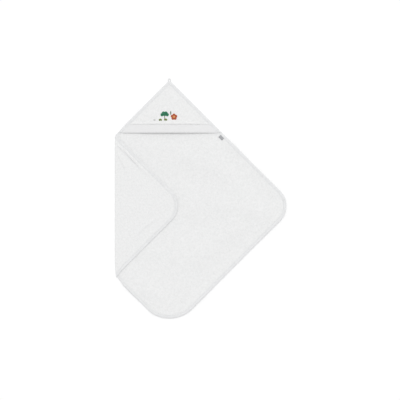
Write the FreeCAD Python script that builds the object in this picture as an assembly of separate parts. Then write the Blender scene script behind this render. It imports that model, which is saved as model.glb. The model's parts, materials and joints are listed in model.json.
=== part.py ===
import FreeCAD, Part
import math
import os

V = FreeCAD.Vector

# Hooded baby towel, lying flat on its corner. Millimetres.
# +Z is up, +Y points at the hood's tip, +X at the right corner.
# The origin is the centre of the cloth's square, on the underside.

# ---- driving dimensions: cloth -------------------------------------------
cloth_side = 750.0          # edge of the square of terry
cloth_thickness = 3.6       # one layer, with the loops on both faces
side_corner_radius = 88.0   # left and right corners
foot_corner_radius = 133.0  # corner opposite the hood
layer_gap = 0.5             # air between the folded corner and the cloth under it
body_gap = 0.3              # between two pieces of cloth that turn against each other
seam_ease = 0.2             # between a cloth edge and the tape folded round it
surface_ease = 0.05         # between a curved face and what is sewn on it

# ---- driving dimensions: edge binding ------------------------------------
binding_width = 14.0        # seen width of the folded tape
tape_thickness = 0.6
tip_round = 2.0             # inner radius left to the binding at the hood's tip
stitch_inset = 11.0         # stitching line, from the outer edge
thread_width = 0.8
thread_depth = 0.3          # how far a thread lies sunk in the tape
thread_ease = 0.05          # beside a sunk thread

# ---- driving dimensions: hood --------------------------------------------
hood_depth = 222.0          # sharp tip to the opening's edge
hood_front_thickness = 2.6
hood_rise = 8.0             # height of the arch at the opening
hinge_setback = 1.8         # from the opening's edge down to the hood's fold line
fold_clearance = 2.2        # from the hood's lower corner out to the side fold
band_width = 34.0
band_thickness = 0.9
facing_depth = 12.0         # how far the band turns inside the opening
band_stitch_inset = 2.5
bartack_length = 11.0
bartack_width = 3.0
bartack_height = 0.7
arch_overreach = 1.06       # arch's width, as a share of the hood's, before it is trimmed
thread_end = 1.0            # a band's stitches stop this far from the binding

# ---- driving dimensions: embroidery --------------------------------------
# places are (x, y) from the motif's ground line, on the towel's centre line
ground_above_opening = 50.0
thread_height = 1.0         # how far the satin stitches stand up
motif_ease = 0.3            # between neighbouring patches of thread
crown_at = (-20.0, 27.5)
crown_lobe_radius = 6.8
trunk_width = 2.6
tufts_at = ((-38.0, 4.0), (-15.5, 4.5))
tuft_radius = 3.8
flower_at = (19.5, 16.5)
petal_count = 5
petal_radius = 6.0
petal_ring_radius = 8.2
flower_centre_radius = 4.2
leaf_at = (5.5, 33.0)
leaf_length, leaf_width = 19.0, 5.2
ground_stitch_at = (-63.0, 3.5)
ground_stitch_length, ground_stitch_width = 9.0, 2.4

# ---- driving dimensions: label and hanging loop --------------------------
label_length, label_width, label_thickness = 21.0, 9.0, 0.8
label_below_opening = 22.0  # label's centre, measured down from the opening's edge
loop_cord_diameter = 3.2
loop_width = 13.0           # outside
loop_length = 15.0          # out of the binding

# ---- derived -------------------------------------------------------------
ROOT2 = math.sqrt(2.0)
half_diagonal = cloth_side / ROOT2
tip_corner_radius = binding_width + tip_round
opening_y = half_diagonal - hood_depth
hinge_y = opening_y - hinge_setback
fold_x = -(hood_depth + hinge_setback + fold_clearance)
fold_z = cloth_thickness + layer_gap / 2
turn_radius = (fold_z + layer_gap / 2) / 2  # of the fold, at the cloth's mid-thickness
roll_length = math.pi * turn_radius     # cloth used up by the fold
fold_hinge_x = fold_x - roll_length / 2
web_inset = tape_thickness + seam_ease
band_bottom = hood_front_thickness + surface_ease
band_top = band_bottom + band_thickness
ground_y = opening_y + ground_above_opening
tip_y = half_diagonal - tip_corner_radius * (ROOT2 - 1)
column_top = 4 * hood_rise   # above everything on the hood
cut_spare = 1.0             # how far a cutting solid stands past what it cuts
far = 2 * cloth_side        # reach of the cutting boxes

parts = {}


# ---- flat shapes ---------------------------------------------------------
def rounded_square(inset):
    """Outline of the cloth moved inward by inset, as a face at z = 0."""
    reach = half_diagonal - inset * ROOT2
    corners = [((0, 1), tip_corner_radius), ((1, 0), side_corner_radius),
               ((0, -1), foot_corner_radius), ((-1, 0), side_corner_radius)]
    starts, middles, ends = [], [], []
    for index, ((cx, cy), radius) in enumerate(corners):
        left = max(radius - inset, 0.0)
        before = V(*corners[index - 1][0], 0)
        after = V(*corners[(index + 1) % 4][0], 0)
        corner = V(cx, cy, 0)
        vertex = corner * reach
        starts.append(vertex + (before - corner).normalize() * left)
        middles.append(vertex - corner * (left * (ROOT2 - 1)))
        ends.append(vertex + (after - corner).normalize() * left)
    edges = []
    for index in range(4):
        if (ends[index] - starts[index]).Length > 1e-6:
            edges.append(Part.Arc(starts[index], middles[index], ends[index]).toShape())
        edges.append(Part.LineSegment(ends[index], starts[(index + 1) % 4]).toShape())
    return Part.Face(Part.Wire(edges))


def raised(face, low, high):
    """Upright solid over a flat face, from z = low to z = high."""
    solid = face.extrude(V(0, 0, high - low))
    solid.translate(V(0, 0, low))
    return solid


def slab(inset, low, high):
    return raised(rounded_square(inset), low, high)


def ring(outer, inner, low, high):
    return slab(outer, low, high).cut(slab(inner, low, high))


def half_space(x_low=-far, x_high=far, y_low=-far, y_high=far):
    return Part.makeBox(x_high - x_low, y_high - y_low, 2 * far, V(x_low, y_low, -far))


def rectangle(cx, cy, length, width, turn=0.0):
    face = Part.makePlane(length, width, V(cx - length / 2, cy - width / 2, 0))
    face.rotate(V(cx, cy, 0), V(0, 0, 1), turn)
    return face


def disc(cx, cy, radius):
    return Part.Face(Part.Wire(Part.makeCircle(radius, V(cx, cy, 0))))


def ellipse(cx, cy, half_x, half_y, turn=0.0):
    face = disc(0, 0, 1.0)
    matrix = FreeCAD.Matrix()
    matrix.scale(half_x, half_y, 1.0)
    face = face.transformGeometry(matrix)
    face.rotate(V(0, 0, 0), V(0, 0, 1), turn)
    face.translate(V(cx, cy, 0))
    return face


# ---- the hood's arch: a shallow cone with its point at the sharp tip ------
def arch_section(y, offset, low):
    """Closed wire across the hood at y: flat at z = low, arched above by offset."""
    half_width = half_diagonal - y
    rise = hood_rise * half_width / hood_depth
    radius = (half_width ** 2 + rise ** 2) / (2 * rise)
    top = cloth_thickness + rise
    reach = half_width * arch_overreach
    side = top - radius + math.sqrt(radius ** 2 - reach ** 2)
    left_low, right_low = V(-reach, y, low), V(reach, y, low)
    left, crown, right = V(-reach, y, side + offset), V(0, y, top + offset), V(reach, y, side + offset)
    return Part.Wire([Part.LineSegment(left_low, left).toShape(),
                      Part.Arc(left, crown, right).toShape(),
                      Part.LineSegment(right, right_low).toShape(),
                      Part.LineSegment(right_low, left_low).toShape()])


def under_arch(offset, low=0.0):
    """Everything between z = low and the arched face raised by offset."""
    sections = [arch_section(opening_y - hinge_setback, offset, low),
                arch_section(half_diagonal - tip_round, offset, low)]
    return Part.makeLoft(sections, True, True)


def skin(low_offset, high_offset, face):
    """Layer that follows the arch between two offsets, over the flat face."""
    column = raised(face, 0.0, column_top)
    return under_arch(high_offset).common(column).cut(under_arch(low_offset, -cut_spare))


# ---- cloth panels --------------------------------------------------------
def cloth(region):
    """Cloth of one region, pressed thinner where the tape folds round it."""
    pressed = slab(web_inset, tape_thickness, cloth_thickness - tape_thickness)
    full = slab(binding_width + seam_ease, 0.0, cloth_thickness)
    return full.fuse(pressed).removeSplitter().common(region)


def stitch_lines(low, high, extra=0.0):
    half = thread_width / 2 + extra
    return ring(stitch_inset - half, stitch_inset + half, low, high)


def binding(region):
    """Tape folded over the edge of one region, grooved where its stitches sink in."""
    tape = ring(0.0, binding_width, 0.0, cloth_thickness)
    tape = tape.cut(slab(tape_thickness, tape_thickness, cloth_thickness - tape_thickness))
    front_groove = stitch_lines(cloth_thickness - thread_depth, cloth_thickness + cut_spare, thread_ease)
    back_groove = stitch_lines(-cut_spare, thread_depth, thread_ease)
    tape = tape.cut([front_groove, back_groove])
    return tape.common(region)


def binding_stitching(region):
    """The two thread lines of one row of stitches: on the front and on the back."""
    front = stitch_lines(cloth_thickness - thread_depth, cloth_thickness)
    back = stitch_lines(0.0, thread_depth)
    return Part.makeCompound([front.common(region), back.common(region)])


def turned_over(shape):
    """Move cloth from the left of the side fold onto the front."""
    shape = shape.copy()
    shape.rotate(V(fold_hinge_x, 0, fold_z), V(0, 1, 0), 180)
    return shape


main_region = half_space(x_low=fold_x, y_high=hinge_y - body_gap / 2)
flap_region = half_space(x_high=fold_x - roll_length - body_gap)
hood_region = half_space(y_low=hinge_y + body_gap / 2)

parts["main_panel"] = cloth(main_region)
parts["main_edge_binding"] = binding(main_region)
parts["main_binding_stitching"] = binding_stitching(main_region)
parts["flap_panel"] = turned_over(cloth(flap_region))
parts["flap_edge_binding"] = turned_over(binding(flap_region))
parts["flap_binding_stitching"] = turned_over(binding_stitching(flap_region))


def fold_roll():
    """Half-round turn that joins the cloth to its folded corner."""
    half_length = half_diagonal + fold_x - roll_length / 2
    start = V(fold_x, -half_length, fold_z)
    tube = Part.makeCylinder(fold_z, 2 * half_length, start, V(0, 1, 0))
    tube = tube.cut(Part.makeCylinder(layer_gap / 2, 2 * half_length, start, V(0, 1, 0)))
    return tube.common(half_space(x_high=fold_x))


parts["fold_roll"] = fold_roll()


# ---- hood ----------------------------------------------------------------
def strip(y_low, y_high, inset):
    """Part of the hood's plan between two heights, inside the given inset."""
    return rounded_square(inset).common(
        Part.makePlane(2 * far, y_high - y_low, V(-far, y_low, 0)))


def hood_back_panel():
    pressed = slab(web_inset, tape_thickness, cloth_thickness)
    full = slab(binding_width + seam_ease, 0.0, cloth_thickness)
    return full.fuse(pressed).removeSplitter().common(hood_region)


def hood_front_panel():
    start = opening_y + band_thickness + seam_ease
    return skin(0.0, hood_front_thickness, strip(start, half_diagonal, web_inset))


def hood_edge_binding():
    """Tape folded round both layers of the hood, up one side, over the tip and down."""
    edge = raised(strip(opening_y, half_diagonal, 0.0), 0.0, column_top)
    edge = edge.cut(slab(binding_width, -cut_spare, column_top + cut_spare))
    cavity = slab(tape_thickness, tape_thickness, column_top)
    filling = under_arch(band_bottom, tape_thickness).common(cavity)
    tape = under_arch(band_bottom + tape_thickness).common(edge).cut(filling)
    low_run = ring(0.0, binding_width, 0.0, cloth_thickness)
    low_run = low_run.cut(slab(tape_thickness, tape_thickness, cloth_thickness + cut_spare))
    low_run = low_run.common(half_space(y_low=hinge_y + body_gap / 2, y_high=opening_y))
    tape = tape.fuse(low_run).removeSplitter()
    return tape.cut(stitch_lines(-cut_spare, thread_depth, thread_ease))


def hood_binding_stitching():
    half = thread_width / 2
    outer = strip(opening_y, half_diagonal, stitch_inset - half)
    seat = band_bottom + tape_thickness + surface_ease
    front = skin(seat, seat + thread_depth, outer.cut(rounded_square(stitch_inset + half)))
    back = stitch_lines(0.0, thread_depth).common(hood_region)
    return Part.makeCompound([front, back])


def hood_band():
    """Woven band folded over the opening's edge, with a short facing inside."""
    inset = binding_width + seam_ease
    under = -(surface_ease + band_thickness)
    outside = skin(band_bottom, band_top, strip(opening_y, opening_y + band_width, inset))
    lip = skin(under, band_top, strip(opening_y, opening_y + band_thickness, inset))
    facing = skin(under, -surface_ease, strip(opening_y, opening_y + facing_depth, inset))
    return outside.fuse([lip, facing]).removeSplitter()


def band_stitching(y):
    seat = band_top + surface_ease
    half = thread_width / 2
    return skin(seat, seat + thread_depth, strip(y - half, y + half, binding_width + thread_end))


def hood_bartacks():
    """One bar of dense stitches on the binding at each end of the opening."""
    seat = band_bottom + tape_thickness + surface_ease
    middle = (stitch_inset - thread_width) / 2
    y = opening_y + bartack_length / ROOT2
    x = half_diagonal - y - middle * ROOT2
    bars = []
    for side in (-1, 1):
        bar = rectangle(side * x, y, bartack_length, bartack_width, side * -45)
        bars.append(skin(seat, seat + bartack_height, bar))
    return Part.makeCompound(bars)


def loop_bartack():
    """Bar of dense stitches on the binding's point, over the loop's sewn-in ends."""
    seat = band_bottom + tape_thickness + surface_ease
    bar = rectangle(0, tip_y - stitch_inset / 2, loop_width - loop_cord_diameter, bartack_width)
    return skin(seat, seat + bartack_height, bar)


parts["hood_back_panel"] = hood_back_panel()
parts["hood_front_panel"] = hood_front_panel()
parts["hood_edge_binding"] = hood_edge_binding()
parts["hood_binding_stitching"] = hood_binding_stitching()
parts["hood_band"] = hood_band()
parts["hood_band_upper_stitching"] = band_stitching(opening_y + band_width - band_stitch_inset)
parts["hood_band_lower_stitching"] = band_stitching(opening_y + band_stitch_inset)
parts["hood_bartacks"] = hood_bartacks()
parts["loop_bartack"] = loop_bartack()


# ---- embroidery: a plain round tree, two tufts of grass and a flower ------
def stitched(face):
    """Satin stitches over a flat shape of the motif, lying on the hood's front."""
    face = face.copy()
    face.translate(V(0, ground_y, 0))
    return skin(band_bottom, band_bottom + thread_height, face)


def joined(faces):
    return faces[0].fuse(faces[1:]).removeSplitter()


def tree_crown(grow=0.0):
    cx, cy = crown_at
    lobes = [disc(cx, cy, 1.2 * crown_lobe_radius + grow)]
    for step_x, step_y in ((-1.6, -0.3), (-0.8, 0.75), (0.8, 0.75), (1.6, -0.3)):
        lobe_x = cx + step_x * crown_lobe_radius
        lobe_y = cy + step_y * crown_lobe_radius
        lobes.append(disc(lobe_x, lobe_y, crown_lobe_radius + grow))
    return joined(lobes)


def grass_tuft(place, grow=0.0):
    cx, cy = place
    blades = []
    for step_x, step_y in ((-0.8, -0.1), (0.0, 0.35), (0.8, -0.1)):
        blades.append(disc(cx + step_x * tuft_radius, cy + step_y * tuft_radius, tuft_radius + grow))
    return joined(blades)


def tree_trunk():
    """Runs from the nearer tuft of grass up to the crown."""
    foot_y = tufts_at[1][1]
    cx, cy = crown_at
    column = rectangle(cx, (foot_y + cy) / 2, trunk_width, cy - foot_y)
    return column.cut([tree_crown(motif_ease), grass_tuft(tufts_at[1], motif_ease)])


def flower_petals():
    cx, cy = flower_at
    petals = [disc(cx, cy, petal_ring_radius)]
    for index in range(petal_count):
        angle = math.radians(90 + index * 360 / petal_count)
        petal_x = cx + petal_ring_radius * math.cos(angle)
        petal_y = cy + petal_ring_radius * math.sin(angle)
        petals.append(disc(petal_x, petal_y, petal_radius))
    return joined(petals).cut(disc(cx, cy, flower_centre_radius + motif_ease))


def leaf():
    """Lens between two arcs, standing up beside the flower."""
    cx, cy = leaf_at
    half_length, half_width = leaf_length / 2, leaf_width / 2
    radius = (half_length ** 2 + half_width ** 2) / (2 * half_width)
    shift = radius - half_width
    return disc(cx - shift, cy, radius).common(disc(cx + shift, cy, radius))


parts["embroidered_tree_crown"] = stitched(tree_crown())
parts["embroidered_tree_trunk"] = stitched(tree_trunk())
parts["embroidered_grass_tufts"] = Part.makeCompound([stitched(grass_tuft(at)) for at in tufts_at])
parts["embroidered_flower_petals"] = stitched(flower_petals())
parts["embroidered_flower_centre"] = stitched(disc(*flower_at, flower_centre_radius))
parts["embroidered_leaf"] = stitched(leaf())
parts["embroidered_ground_stitch"] = stitched(
    rectangle(*ground_stitch_at, ground_stitch_length, ground_stitch_width))


# ---- label and hanging loop ----------------------------------------------
def side_label():
    """Folded woven label caught under the inner edge of the right-hand binding."""
    y = opening_y - label_below_opening
    x = half_diagonal - y - (binding_width + seam_ease + label_width / 2) * ROOT2
    face = rectangle(x, y, label_length, label_width, -45)
    return raised(face, cloth_thickness, cloth_thickness + label_thickness)


def hanging_loop():
    """Round cord bent into a U that stands out of the hood's tip, lying flat."""
    radius = loop_cord_diameter / 2
    bend = (loop_width - loop_cord_diameter) / 2
    root = tip_corner_radius - math.sqrt(tip_corner_radius ** 2 - (bend - radius) ** 2)
    root_y = tip_y - root + body_gap
    bend_y = root_y + loop_length - bend - radius
    left_root, right_root = V(-bend, root_y, radius), V(bend, root_y, radius)
    left, right = V(-bend, bend_y, radius), V(bend, bend_y, radius)
    path = Part.Wire([Part.LineSegment(left_root, left).toShape(),
                      Part.Arc(left, V(0, bend_y + bend, radius), right).toShape(),
                      Part.LineSegment(right, right_root).toShape()])
    section = Part.Wire(Part.makeCircle(radius, left_root, V(0, 1, 0)))
    return path.makePipeShell([section], True, True)


parts["side_label"] = side_label()
parts["hanging_loop"] = hanging_loop()


# ---- output --------------------------------------------------------------
os.makedirs("parts", exist_ok=True)
for name, shape in parts.items():
    shape.exportStep("parts/" + name + ".step")
print("opening_y", round(opening_y, 3), "hinge_y", round(hinge_y, 3))
print("side fold at x", round(fold_x, 3), "hinge", round(fold_hinge_x, 3), round(fold_z, 3))
print("tip_y", round(tip_y, 3), "loop", parts["hanging_loop"].BoundBox)
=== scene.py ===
import json
import math

import bmesh
import bpy
import numpy as np
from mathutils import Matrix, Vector

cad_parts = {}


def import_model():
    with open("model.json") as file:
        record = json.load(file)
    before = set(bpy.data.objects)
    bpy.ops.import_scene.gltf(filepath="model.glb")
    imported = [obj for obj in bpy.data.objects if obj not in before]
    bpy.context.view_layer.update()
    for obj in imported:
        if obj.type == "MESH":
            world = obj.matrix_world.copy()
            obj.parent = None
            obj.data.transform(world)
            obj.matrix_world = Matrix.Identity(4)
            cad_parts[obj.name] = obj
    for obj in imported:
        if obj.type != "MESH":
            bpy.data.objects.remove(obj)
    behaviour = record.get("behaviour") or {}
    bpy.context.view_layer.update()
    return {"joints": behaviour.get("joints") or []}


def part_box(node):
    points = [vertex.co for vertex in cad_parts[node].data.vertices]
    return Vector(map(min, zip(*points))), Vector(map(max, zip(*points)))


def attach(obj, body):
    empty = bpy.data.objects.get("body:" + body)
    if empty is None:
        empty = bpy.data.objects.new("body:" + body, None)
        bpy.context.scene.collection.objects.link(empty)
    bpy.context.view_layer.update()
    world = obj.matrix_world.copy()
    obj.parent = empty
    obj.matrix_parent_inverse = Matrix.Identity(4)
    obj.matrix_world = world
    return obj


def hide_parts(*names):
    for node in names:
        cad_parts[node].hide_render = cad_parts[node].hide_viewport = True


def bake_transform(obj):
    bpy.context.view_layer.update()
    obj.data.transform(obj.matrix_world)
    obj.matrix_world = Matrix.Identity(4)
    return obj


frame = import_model()

# ---- sizes, in metres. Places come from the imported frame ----
MM = 0.001
ROOT2 = math.sqrt(2.0)
joints = {joint["name"]: joint for joint in frame["joints"]}
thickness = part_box("main_panel")[1].z
fold_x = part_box("main_panel")[0].x
fold_hinge_x, _, fold_z = joints["corner_fold"]["pos_m"]
roll_length = 2 * (fold_x - fold_hinge_x)
hood_hinge = joints["hood_fold"]["pos_m"]
opening_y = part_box("hood_band")[0].y
tip_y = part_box("hood_edge_binding")[1].y
loop_low, loop_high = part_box("hanging_loop")

SIDE_RADIUS = 88 * MM  # right corner, and the folded left one
half_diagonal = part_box("main_edge_binding")[1].x + SIDE_RADIUS * (ROOT2 - 1)
foot_radius = (half_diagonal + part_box("main_edge_binding")[0].y) / (ROOT2 - 1)
tip_radius = (half_diagonal - tip_y) / (ROOT2 - 1)
hood_depth = half_diagonal - opening_y
HINGE_SPLIT = 1.2 * MM  # from where the main cloth ends to the hood's fold
split_y = hood_hinge[1] - HINGE_SPLIT

# layers, measured up from the cloth's underside
BINDING_PROUD = 0.5 * MM  # binding over the terry, on each face
PILE_OVER = 0.1 * MM  # middle of the pile, over the cloth's own face
panel_low = BINDING_PROUD
panel_high = thickness + PILE_OVER
FRONT_THICKNESS = 2.6 * MM  # hood's front layer
FRONT_SETBACK = 1.2 * MM  # and how far behind the opening it starts, inside the band
hood_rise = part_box("hood_front_panel")[1].z - thickness - FRONT_THICKNESS

GRID = 3.1 * MM  # mesh step of the terry
BINDING_WIDTH = 14 * MM
EDGE_TUCK = 6 * MM  # terry's own edge, hidden in the binding
STITCH_INSET = 11 * MM
STITCH_PITCH = 4.2 * MM
STITCH_LENGTH = 3.3 * MM
STITCH_RADIUS = 0.36 * MM
STITCH_ARCH = 0.22 * MM
STITCH_SEAT = 0.02 * MM  # thread's centre over the terry, in the binding's groove
TAPE_STEP = 1.4 * MM  # mesh step along the binding
TAPE_PUCKER = 0.10 * MM  # binding drawn in between the stitches

FLAP_LIFT = 0.8 * MM  # folded corner, over where it would lie pressed flat
FOLD_PUFF = 1.3 * MM  # extra fullness of the upper face along the fold
FOLD_PUFF_REACH = 30 * MM
TUFT_SIZE, TUFT_HEIGHT = 3.3 * MM, 0.22 * MM
PATCH_SIZE, PATCH_HEIGHT = 11 * MM, 0.18 * MM  # wider unevenness of the pile
FACE_SEEDS = {"inner": 50, "outer": 52, "hood_inner": 60, "hood_outer": 62}  # pile of each face
FLOOR_GAP = 0.05 * MM  # least height of the cloth over the floor
EDGE_PASSES = 4  # to bring the terry's ragged edge onto its line
SLOPE_STEP = 0.2 * MM  # for the slope of the inset
TURN_SHARE = 5 * MM  # flat cloth past the fold, in the fold's piece
# the fold's two ends: side, where the cloth starts to be drawn in, and how far
FOLD_ENDS = ((1, 245 * MM, 3.5 * MM), (-1, 215 * MM, 5.5 * MM))
FOLD_END_REACH = 45 * MM  # how much of the layers beside the fold is drawn in
FOLD_SEAM = 0.1 * MM  # fold's inner face, under the height where it changes body
FOLD_STEP = 0.3 * MM  # mesh step round the fold
HINGE_STEP = 0.6 * MM  # and across the hood's hinge
FOLD_PRESS_REACH = 9 * MM  # past the fold's piece, where the cloth is still pressed


# ---- small tools ----
def smooth(t):
    t = np.clip(t, 0.0, 1.0)
    return t * t * (3 - 2 * t)


def soft_noise(x, y, cell, seed):
    """Smooth lumps about one cell wide, from -1 to 1, the same each run."""
    size = 64
    table = np.random.default_rng(seed).uniform(-1, 1, (size, size))
    gx, gy = np.asarray(x) / cell, np.asarray(y) / cell
    ix, iy = np.floor(gx).astype(int), np.floor(gy).astype(int)
    fx, fy = smooth(gx - ix), smooth(gy - iy)
    left = table[ix % size, iy % size] * (1 - fy) + table[ix % size, (iy + 1) % size] * fy
    right = table[(ix + 1) % size, iy % size] * (1 - fy) + table[(ix + 1) % size, (iy + 1) % size] * fy
    return left * (1 - fx) + right * fx


def ridges(x, y, rows):
    """Sum of soft ridges, each (x, y, direction in degrees, half length, half width, height)."""
    total = np.zeros(np.shape(x))
    for rx, ry, degrees, half_length, half_width, height in rows:
        turn = math.radians(degrees)
        along = (x - rx) * math.cos(turn) + (y - ry) * math.sin(turn)
        across = (y - ry) * math.cos(turn) - (x - rx) * math.sin(turn)
        total += height * np.exp(-(across / half_width) ** 2 - (along / half_length) ** 4)
    return total


def add_marks(mesh, marks):
    """Store each vertex's own place on the cloth or thread, which its material's pattern follows."""
    layer = mesh.attributes.new("cloth", "FLOAT_VECTOR", "POINT")
    layer.data.foreach_set("vector", np.asarray(marks, float).ravel())


def add_object(name, data):
    made = bpy.data.objects.new(name, data)
    bpy.context.scene.collection.objects.link(made)
    return made


def show(name, mesh, material):
    mesh.polygons.foreach_set("use_smooth", [True] * len(mesh.polygons))
    mesh.materials.append(material)
    return add_object(name, mesh)


def mesh_object(name, vertices, faces, marks, material):
    mesh = bpy.data.meshes.new(name)
    mesh.from_pydata(np.asarray(vertices, float).tolist(), [], [list(map(int, f)) for f in faces])
    add_marks(mesh, marks)
    return show(name, mesh, material)


def path_length(points):
    """Distance along a path to each of its points."""
    return np.r_[0, np.cumsum(np.linalg.norm(np.diff(points, axis=0), axis=1))]


def tube_faces(count, around):
    """Point numbers of a tube of count rings of around points, and the faces between the rings."""
    index = np.arange(count * around).reshape(count, around)
    side = np.roll(index, -1, 1)
    return index, np.stack([index[:-1], side[:-1], side[1:], index[1:]], -1).reshape(-1, 4)


def closed_tube(count, around):
    index, quads = tube_faces(count, around)
    return quads.tolist() + [index[0][::-1].tolist(), index[-1].tolist()]


def heading(degrees):
    """Unit vector of a direction in the plane."""
    turn = math.radians(degrees)
    return np.array([math.cos(turn), math.sin(turn)])


def middle_of(node):
    """A CAD node's middle in x and y, its width and its height as seen from above."""
    low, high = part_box(node)
    return (low.x + high.x) / 2, (low.y + high.y) / 2, high.x - low.x, high.y - low.y


# ---- the flat cloth: a square on its corner, with rounded corners ----
CORNERS = ((90, tip_radius), (0, SIDE_RADIUS), (-90, foot_radius), (180, SIDE_RADIUS))


def inset_of(x, y):
    """How far a point of the flat cloth lies inside its outline."""
    u, v = (x + y) / ROOT2, (y - x) / ROOT2
    upper = np.where(v > 0, tip_radius, SIDE_RADIUS)
    lower = np.where(v > 0, SIDE_RADIUS, foot_radius)
    radius = np.where(u > 0, upper, lower)
    qu = np.abs(u) - half_diagonal / ROOT2 + radius
    qv = np.abs(v) - half_diagonal / ROOT2 + radius
    outside = np.hypot(np.clip(qu, 0, None), np.clip(qv, 0, None))
    return radius - outside - np.minimum(np.maximum(qu, qv), 0)


def outline(spacing):
    """Points round the outline, clockwise from the hood's tip, with their inward directions."""
    points, angles = [], []
    for index, (middle, radius) in enumerate(CORNERS):
        centre = (half_diagonal - radius * ROOT2) * heading(middle)
        steps = max(int(radius * math.pi / 2 / spacing), 8)
        turn = np.radians(np.linspace(middle + 45, middle - 45, steps, endpoint=False))
        arc = centre + radius * np.stack([np.cos(turn), np.sin(turn)], 1)
        after, after_radius = CORNERS[(index + 1) % 4]
        next_centre = (half_diagonal - after_radius * ROOT2) * heading(after)
        normal = heading(middle - 45)
        start, end = centre + radius * normal, next_centre + after_radius * normal
        steps = int(np.linalg.norm(end - start) / spacing)
        line = start + np.linspace(0, 1, steps, endpoint=False)[:, None] * (end - start)
        points += [arc, line]
        angles += [turn, np.full(steps, math.radians(middle - 45))]
    angles = np.concatenate(angles)
    return np.concatenate(points), -np.stack([np.cos(angles), np.sin(angles)], 1)


def held(x, y, reach):
    """0 at the binding, which holds the cloth flat, and 1 from reach further in."""
    return smooth((inset_of(x, y) - BINDING_WIDTH) / reach)


# ---- how the cloth lies ----
# soft ridges of the open cloth: x, y, direction, half length, half width, height
MAIN_RIDGES = (
    (0.255, 0.105, -52, 0.19, 0.038, 5.0 * MM),
    (0.330, -0.020, -8, 0.14, 0.042, 4.6 * MM),
    (0.205, -0.150, 38, 0.17, 0.046, 5.0 * MM),
    (0.075, -0.265, 74, 0.15, 0.044, 4.8 * MM),
    (-0.085, -0.360, -40, 0.12, 0.038, 4.2 * MM),
    (0.110, 0.190, -30, 0.12, 0.036, 3.4 * MM),
    (0.150, 0.010, 12, 0.16, 0.062, 3.0 * MM),
)
# small creases of the folded corner, which fan out below the hood's left end
FLAP_CREASES = (
    (-0.198, 0.240, -38, 0.036, 0.0040, 2.6 * MM),
    (-0.184, 0.222, -44, 0.046, 0.0040, 2.8 * MM),
    (-0.166, 0.206, -50, 0.046, 0.0042, 2.5 * MM),
    (-0.150, 0.190, -46, 0.040, 0.0042, 2.2 * MM),
    (-0.134, 0.172, -52, 0.040, 0.0046, 2.0 * MM),
    (-0.208, 0.200, -64, 0.046, 0.0046, 2.4 * MM),
    (-0.192, 0.178, -70, 0.046, 0.0048, 2.0 * MM),
    (-0.108, 0.150, -48, 0.034, 0.0046, 1.6 * MM),
    (-0.085, -0.075, 38, 0.060, 0.0055, 1.5 * MM),
    (-0.112, -0.096, 45, 0.055, 0.0060, 1.3 * MM),
    (-0.120, -0.020, 84, 0.110, 0.0160, 1.0 * MM),
    (-0.190, -0.150, 66, 0.080, 0.0130, 1.2 * MM),
)
HOOD_FOLDS = (
    (0.150, 0.352, 22, 0.050, 0.0070, -1.6 * MM),
    (0.110, 0.372, 34, 0.060, 0.0090, 1.2 * MM),
    (-0.135, 0.360, -24, 0.055, 0.0080, -1.2 * MM),
    (-0.060, 0.420, 62, 0.055, 0.0110, 1.0 * MM),
    (0.035, 0.450, 96, 0.050, 0.0100, -1.0 * MM),
)
CALM_REACH = 55 * MM  # how far from the flap and the hood the cloth lies flat
WAVE_SIZE, WAVE_HEIGHT = 90 * MM, 1.6 * MM  # slow waves of the open cloth
FLUTE_SIZE, FLUTE_HEIGHT, FLUTE_REACH = 55 * MM, 1.5 * MM, 60 * MM  # and of its edge
LUMP_SIZE, LUMP_HEIGHT = 60 * MM, 0.5 * MM  # of the folded corner


def drawn_in(x, y):
    """How far the layers beside the fold are drawn inward, towards the fold's two ends."""
    bend = 0.0
    for side, start, shift in FOLD_ENDS:
        end = half_diagonal + fold_x
        bend = bend + shift * np.clip((side * y - start) / (end - start), 0, 1) ** 2
    return bend * (1 - smooth((x - fold_x) / FOLD_END_REACH))


def flap_inset(x, y):
    """How far a point lies inside the folded corner, seen from above."""
    return inset_of(2 * fold_x - roll_length - x + drawn_in(x, y), y)


def cloth_lift(x, y):
    """Height of the open cloth's soft waves over the floor."""
    calm = smooth(-flap_inset(x, y) / CALM_REACH) * smooth((split_y - y) / CALM_REACH)
    waves = ridges(x, y, MAIN_RIDGES) + WAVE_HEIGHT * (1 + soft_noise(x, y, WAVE_SIZE, seed=3))
    flutes = FLUTE_HEIGHT * (1 + soft_noise(x, y, FLUTE_SIZE, seed=8))
    flutes = flutes * smooth(1 - inset_of(x, y) / FLUTE_REACH)
    return calm * (waves + flutes)


def flap_lift(x, y):
    """Extra height of the folded corner, which grows with the distance from its fold."""
    lumps = LUMP_HEIGHT * (1 + soft_noise(x, y, LUMP_SIZE, seed=21))
    return FLAP_LIFT + smooth((x - fold_x) / FOLD_PUFF_REACH) * lumps


def lay(x, y, height):
    """Where a point of the flat cloth lies, with the left corner folded over the front."""
    x, y, height = np.broadcast_arrays(np.asarray(x, float), y, height)
    beyond = fold_x - x
    turn = math.pi * np.clip(beyond / roll_length, 0, 1)
    centre = fold_z + FLAP_LIFT / 2
    radius = centre - height
    folded_x = fold_x + beyond - roll_length
    flat = beyond <= 0
    folded = beyond >= roll_length
    layer_x = np.where(flat, x, np.where(folded, folded_x, fold_x - radius * np.sin(turn)))
    turned_z = np.where(folded, 2 * fold_z - height + flap_lift(folded_x, y), centre - radius * np.cos(turn))
    place_z = np.where(flat, height + cloth_lift(x, y), turned_z)
    return np.stack([layer_x + drawn_in(layer_x, y), y, place_z], -1)


def by_fold(x):
    """1 in the fold and close beside it, where the cloth is pressed flat, and 0 away from it."""
    away = np.abs(x - fold_x + roll_length / 2) - roll_length / 2 - TURN_SHARE
    return 1 - smooth(away / FOLD_PRESS_REACH)


def lay_turn(x, y, height):
    """As lay, with the lower layer kept under the height where the fold's piece changes body."""
    return lay(x, y, np.minimum(height, fold_z - FOLD_SEAM))


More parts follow.
